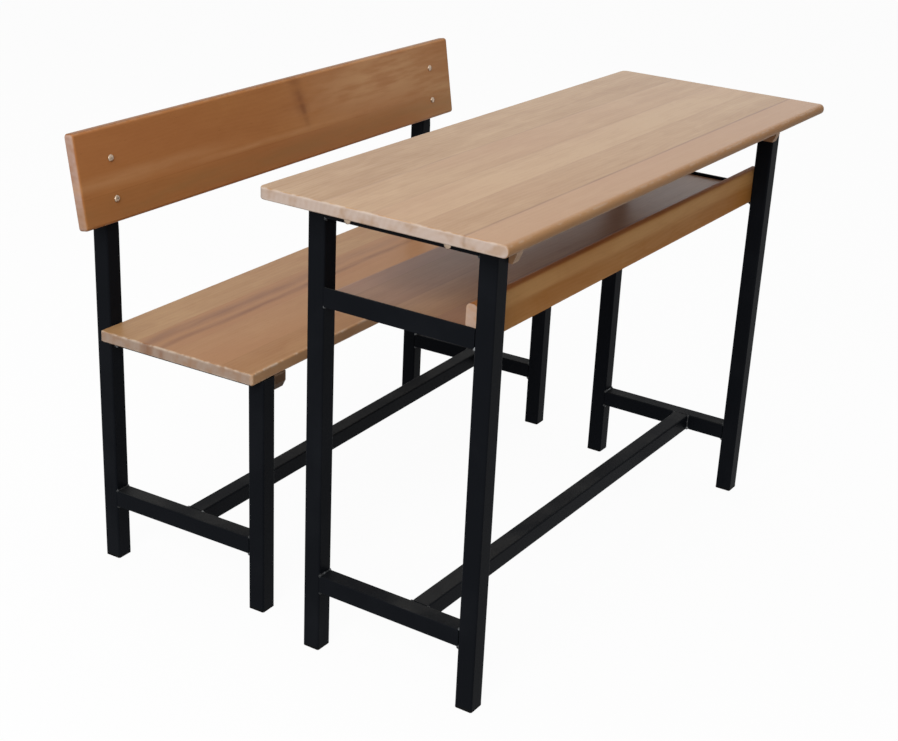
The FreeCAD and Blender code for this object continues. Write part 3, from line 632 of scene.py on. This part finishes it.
# bolt or screw: a crowned head, a plain shank and a wound thread at its end
headedBolt, takes, gives = newTree(
    "headedBolt", "GeometryNodeTree",
    pointSockets + (("Sides", "Int", 24), ("Head Wide", "Float", 0.012), ("Head Rise", "Float", 0.003),
                    ("Crown", "Float", 0.95), ("Shank Wide", "Float", 0.006), ("Length", "Float", 0.05),
                    ("Thread", "Float", 0.02), ("Pitch", "Float", 0.001)), shapeSocket)
tree = headedBolt
headShape = {"Vertices": takes["Sides"], "Side Segments": 7, "Radius": 1.0, "Depth": 1.0}
head = add(tree, "GeometryNodeMeshCylinder", headShape).outputs[0]
spot = partsOf(tree, add(tree, "GeometryNodeInputPosition").outputs[0])
climb = plus(tree, spot[2], 0.5)  # from 0 at the seat to 1 at the crown
curve = times(tree, climb, takes["Crown"])
narrowing = sums(tree, "SQRT", minus(tree, 1.0, times(tree, curve, curve)))
wide = times(tree, narrowing, over(tree, takes["Head Wide"], 2.0))
crowned = vectorOf(tree, times(tree, spot[0], wide), times(tree, spot[1], wide),
                   times(tree, climb, takes["Head Rise"]))
head = add(tree, "GeometryNodeSetPosition", {"Geometry": head, "Position": crowned}).outputs[0]
smoothHead = sums(tree, "GREATER_THAN", takes["Sides"], 6.5)  # a six-sided head keeps its corners
head = add(tree, "GeometryNodeSetShadeSmooth", {"Geometry": head, "Shade Smooth": smoothHead}).outputs[0]
shankShape = {"Vertices": 12, "Radius": times(tree, takes["Shank Wide"], 0.46), "Depth": takes["Length"]}
shank = add(tree, "GeometryNodeMeshCylinder", shankShape).outputs[0]
shank = lifted(tree, shank, times(tree, takes["Length"], -0.5))
windRadius = times(tree, takes["Shank Wide"], 0.44)
windShape = {"Resolution": 10, "Rotations": over(tree, takes["Thread"], takes["Pitch"]),
             "Start Radius": windRadius, "End Radius": windRadius, "Height": takes["Thread"]}
wind = add(tree, "GeometryNodeCurveSpiral", windShape).outputs[0]
ridgeShape = {"Resolution": 4, "Radius": times(tree, takes["Pitch"], 0.42)}
ridge = add(tree, "GeometryNodeCurvePrimitiveCircle", ridgeShape).outputs[0]
threadShape = {"Curve": wind, "Profile Curve": ridge, "Fill Caps": True}
thread = add(tree, "GeometryNodeCurveToMesh", threadShape).outputs[0]
thread = lifted(tree, thread, minus(tree, times(tree, takes["Pitch"], 0.5), takes["Length"]))
onPoints(tree, takes, gives, joinShapes(tree, head, shank, thread))

# six-sided nut with both faces eased
sixNut, takes, gives = newTree(
    "sixNut", "GeometryNodeTree",
    pointSockets + (("Wide", "Float", 0.013), ("Thick", "Float", 0.005), ("Eased", "Float", 0.0007)),
    shapeSocket)
tree = sixNut
middle = minus(tree, takes["Thick"], times(tree, takes["Eased"], 2.0))
blockShape = {"Vertices": 6, "Radius": over(tree, takes["Wide"], 2.0), "Depth": middle}
block = add(tree, "GeometryNodeMeshCylinder", blockShape)
shape = block.outputs[0]
for face in ("Top", "Bottom"):
    pull = {"Mesh": shape, "Selection": block.outputs[face], "Offset Scale": takes["Eased"]}
    pulled = add(tree, "GeometryNodeExtrudeMesh", pull, mode="FACES").outputs
    ease = {"Geometry": pulled[0], "Selection": pulled["Top"], "Scale": 0.88}
    shape = add(tree, "GeometryNodeScaleElements", ease, domain="FACE").outputs[0]
shape = lifted(tree, shape, over(tree, takes["Thick"], 2.0))
shape = add(tree, "GeometryNodeSetShadeSmooth", {"Geometry": shape, "Shade Smooth": False}).outputs[0]
onPoints(tree, takes, gives, shape)

# flat ring with eased rims
roundWasher, takes, gives = newTree(
    "roundWasher", "GeometryNodeTree",
    pointSockets + (("Wide", "Float", 0.018), ("Hole", "Float", 0.0065), ("Thick", "Float", 0.0015)),
    shapeSocket)
tree = roundWasher
band = over(tree, minus(tree, takes["Wide"], takes["Hole"]), 2.0)
ringShape = {"Resolution": 28, "Radius": over(tree, plus(tree, takes["Wide"], takes["Hole"]), 4.0)}
ring = add(tree, "GeometryNodeCurvePrimitiveCircle", ringShape).outputs[0]
bandShape = {"Width": band, "Height": takes["Thick"]}
section = add(tree, "GeometryNodeCurvePrimitiveQuadrilateral", bandShape).outputs[0]
ease = {"Curve": section, "Radius": times(tree, takes["Thick"], 0.25), "Count": 2}
section = add(tree, "GeometryNodeFilletCurve", ease, mode="POLY").outputs[0]
shape = add(tree, "GeometryNodeCurveToMesh", {"Curve": ring, "Profile Curve": section}).outputs[0]
onPoints(tree, takes, gives, lifted(tree, shape, over(tree, takes["Thick"], 2.0)))

boltSizes = {"Sides": 24, "Crown": 0.95, "Shank Wide": 0.006, "Thread": 0.022, "Pitch": 0.001}
screwSizes = {"Sides": 6, "Crown": 0.45, "Shank Wide": 0.004, "Thread": 0.012, "Pitch": 0.0016}
hardware = {
    "desk_batten_bolts": ("desk", boltSizes), "seat_batten_bolts": ("bench", boltSizes),
    "backrest_bolts": ("bench", boltSizes), "desk_top_screws": ("desk", screwSizes),
    "shelf_screws": ("desk", screwSizes), "seat_screws": ("bench", screwSizes),
}
tipRoom = 0.0004  # keeps the thread's last turn inside the solid's length
for node, (body, sizes) in hardware.items():
    places = fastenerPlaces(node, body)
    wide, rise, length = (places[0][k] for k in ("wide", "rise", "length"))
    values = {"Finish": zincSteel, "Head Wide": wide, "Head Rise": rise, "Length": length - tipRoom, **sizes}
    piece = grow(node.replace("_", ".") + ".turned", headedBolt, body, [p["seat"] for p in places], values,
                 axes=[p["axis"] for p in places])
    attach(piece, body)
    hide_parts(node)
    print(node, len(places), "made, head %.4f rise %.4f length %.4f" % (wide, rise, length))

flatHardware = {
    "desk_batten_nuts": ("desk", sixNut), "seat_batten_nuts": ("bench", sixNut),
    "backrest_nuts": ("bench", sixNut), "desk_batten_washers": ("desk", roundWasher),
    "seat_batten_washers": ("bench", roundWasher),
}
for node, (body, tree) in flatHardware.items():
    places = fastenerPlaces(node, body, flat=True)
    wide, thick = places[0]["wide"], places[0]["rise"]
    values = {"Finish": zincSteel, "Wide": wide, "Thick": thick}
    piece = grow(node.replace("_", ".") + ".pressed", tree, body, [p["seat"] for p in places], values,
                 axes=[p["axis"] for p in places])
    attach(piece, body)
    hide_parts(node)
    print(node, len(places), "made, wide %.4f thick %.4f" % (wide, thick))

# weld seams: overlapping drops along the lines where a bar's end meets the side of another tube
weldDrops, takes, gives = newTree(
    "weldDrops", "GeometryNodeTree",
    (("Seams", "Geometry"), ("Finish", "Material"), ("Pitch", "Float", 0.0018), ("Radius", "Float", 0.002),
     ("Smallest", "Float", 0.85), ("Largest", "Float", 1.2), ("Tack", "Float", 1.6), ("Seed", "Int", 5)),
    shapeSocket)
tree = weldDrops
seam = add(tree, "GeometryNodeMeshToCurve", {"Mesh": takes["Seams"]}).outputs[0]
spaced = {"Curve": seam, "Length": takes["Pitch"]}
steps = add(tree, "GeometryNodeResampleCurve", spaced, mode="LENGTH").outputs[0]
dropShape = {"Segments": 8, "Rings": 5, "Radius": takes["Radius"]}
drop = add(tree, "GeometryNodeMeshUVSphere", dropShape).outputs[0]
sizeRange = {2: takes["Smallest"], 3: takes["Largest"], 8: takes["Seed"]}
sizes = add(tree, "FunctionNodeRandomValue", sizeRange, data_type="FLOAT").outputs[1]
# a seam starts and stops in a larger tack
seamEnd = add(tree, "GeometryNodeCurveEndpointSelection").outputs[0]
tackSize = {"Switch": seamEnd, "False": 1.0, "True": takes["Tack"]}
sizes = times(tree, sizes, add(tree, "GeometryNodeSwitch", tackSize, input_type="FLOAT").outputs[0])
copies = {"Points": steps, "Instance": drop, "Scale": sizes}
finished(tree, add(tree, "GeometryNodeInstanceOnPoints", copies).outputs[0], takes, gives, smooth=True)

welds = {
    "touch": 0.0008, "beyond": 0.003, "inset": 0.003,
    "Pitch": 0.0018, "Radius": 0.002, "Tack": 1.6, "Seed": 5,
}


def seamsBetween(bar, post, body):  # edges of the bar's end where the post's face goes on past them
    barLow, barHigh = bodyBox(bar, body)
    postLow, postHigh = bodyBox(post, body)
    run = max(range(3), key=lambda k: barHigh[k] - barLow[k])
    found = []
    for end, face in ((barHigh[run], postLow[run]), (barLow[run], postHigh[run])):
        if abs(end - face) > welds["touch"]:
            continue
        for k in (j for j in range(3) if j != run):
            other = 3 - run - k
            start = max(barLow[other], postLow[other]) + welds["inset"]
            stop = min(barHigh[other], postHigh[other]) - welds["inset"]
            inside = barLow[k] < postHigh[k] and barHigh[k] > postLow[k]
            if stop - start < welds["inset"] or not inside:
                continue
            edges = ((barLow[k], postLow[k] < barLow[k] - welds["beyond"]),
                     (barHigh[k], postHigh[k] > barHigh[k] + welds["beyond"] and "angle" not in bar))
            for edge, reachable in edges:
                if reachable:
                    first, last = Vector((0, 0, 0)), Vector((0, 0, 0))
                    first[run] = last[run] = face
                    first[k] = last[k] = edge
                    first[other], last[other] = start, stop
                    found.append((first, last))
    return found


for body in ("desk", "bench"):
    members = [n for n in frame["record"]["behaviour"]["bodies"][body] if n in paintedNodes]
    bars = [n for n in members if "_leg_" not in n and "_post_" not in n]
    meetings = [(bar, post) for bar in bars for post in members if post != bar]
    seams = [pair for bar, post in meetings for pair in seamsBetween(bar, post, body)]
    ends = [point for pair in seams for point in pair]
    piece = grow(body + ".weld.seams", weldDrops, body, ends, dict(welds, Finish=weldPaintedGlints),
                 edges=[(2 * i, 2 * i + 1) for i in range(len(seams))])
    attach(piece, body)
    print(body, len(seams), "weld seams")
